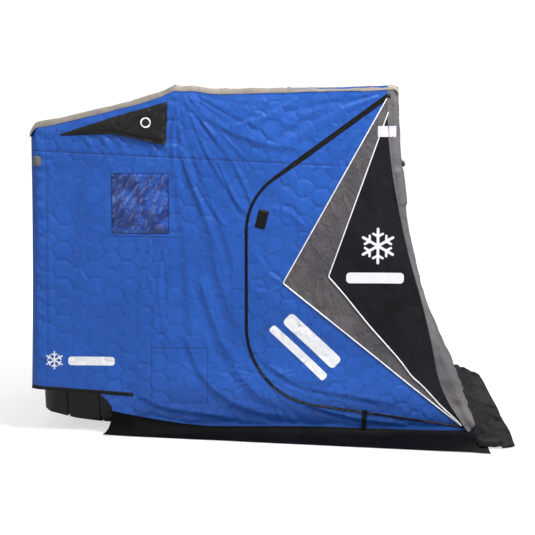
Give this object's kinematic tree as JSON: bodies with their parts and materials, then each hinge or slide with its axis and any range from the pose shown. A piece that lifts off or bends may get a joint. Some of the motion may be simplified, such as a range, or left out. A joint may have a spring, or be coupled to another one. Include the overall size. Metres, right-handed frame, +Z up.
{
  "type": "flip-over ice fishing shelter",
  "caption": "Flip-over fabric ice fishing shelter on a moulded sled, with a zipped door folding out in each side.",
  "frame": {"origin": "centre of the shelter's footprint, on the ground", "axes": "+X towards the front wall, +Z up"},
  "size_m": [2.823, 2.566, 2.03],
  "materials": {
    "blue_fabric": "satin",
    "grey_fabric": "matte",
    "black_fabric": "satin",
    "front_fabric": "matte",
    "taupe_fabric": "matte",
    "skirt_fabric": "matte",
    "binding": "matte",
    "zip": "satin",
    "clear_vinyl": "gloss",
    "reflective": "satin",
    "sled_plastic": "satin",
    "pole_metal": "satin"
  },
  "bodies": {
    "shelter": {"sled": "sled_plastic", "hub_plates": "pole_metal", "rear_bow_uprights": "pole_metal", "rear_bow_cross": "pole_metal", "ridge_bow_uprights": "pole_metal", "ridge_bow_cross": "pole_metal", "front_bow_uprights": "pole_metal", "front_bow_cross": "pole_metal", "ground_bow_uprights": "pole_metal", "ground_bow_cross": "pole_metal", "roof_rear": "taupe_fabric", "roof_top": "taupe_fabric", "back_wall": "taupe_fabric", "back_hem": "binding", "front_wall": "front_fabric", "front_corners": "front_fabric", "front_window": "clear_vinyl", "front_window_frame": "binding", "front_skirt": "skirt_fabric", "side_windows": "clear_vinyl", "vent_hoods": "black_fabric", "corner_tabs": "reflective", "side_hems": "binding", "right_wall_upper": "blue_fabric", "right_wall_main": "blue_fabric", "right_wall_sill": "blue_fabric", "right_gore": "black_fabric", "right_skirt": "skirt_fabric", "right_zip_track": "zip", "left_wall_upper": "blue_fabric", "left_wall_main": "blue_fabric", "left_wall_sill": "blue_fabric", "left_gore": "black_fabric", "left_skirt": "skirt_fabric", "left_zip_track": "zip"},
    "right_door": {"right_door_blue": "blue_fabric", "right_door_grey": "grey_fabric", "right_door_black": "black_fabric", "right_door_zip": "zip", "right_door_tab": "binding"},
    "left_door": {"left_door_blue": "blue_fabric", "left_door_grey": "grey_fabric", "left_door_black": "black_fabric", "left_door_zip": "zip", "left_door_tab": "binding"}
  },
  "joints": [
    {"name": "right_door_fold", "type": "hinge", "parent": "shelter", "child": "right_door", "pos_m": [0.8135, -1, 0.118], "axis": [-0.1128, 0, 0.9936], "range_deg": [0, 115]},
    {"name": "left_door_fold", "type": "hinge", "parent": "shelter", "child": "left_door", "pos_m": [0.8135, 1, 0.118], "axis": [0.1128, 0, -0.9936], "range_deg": [0, 115]}
  ]
}
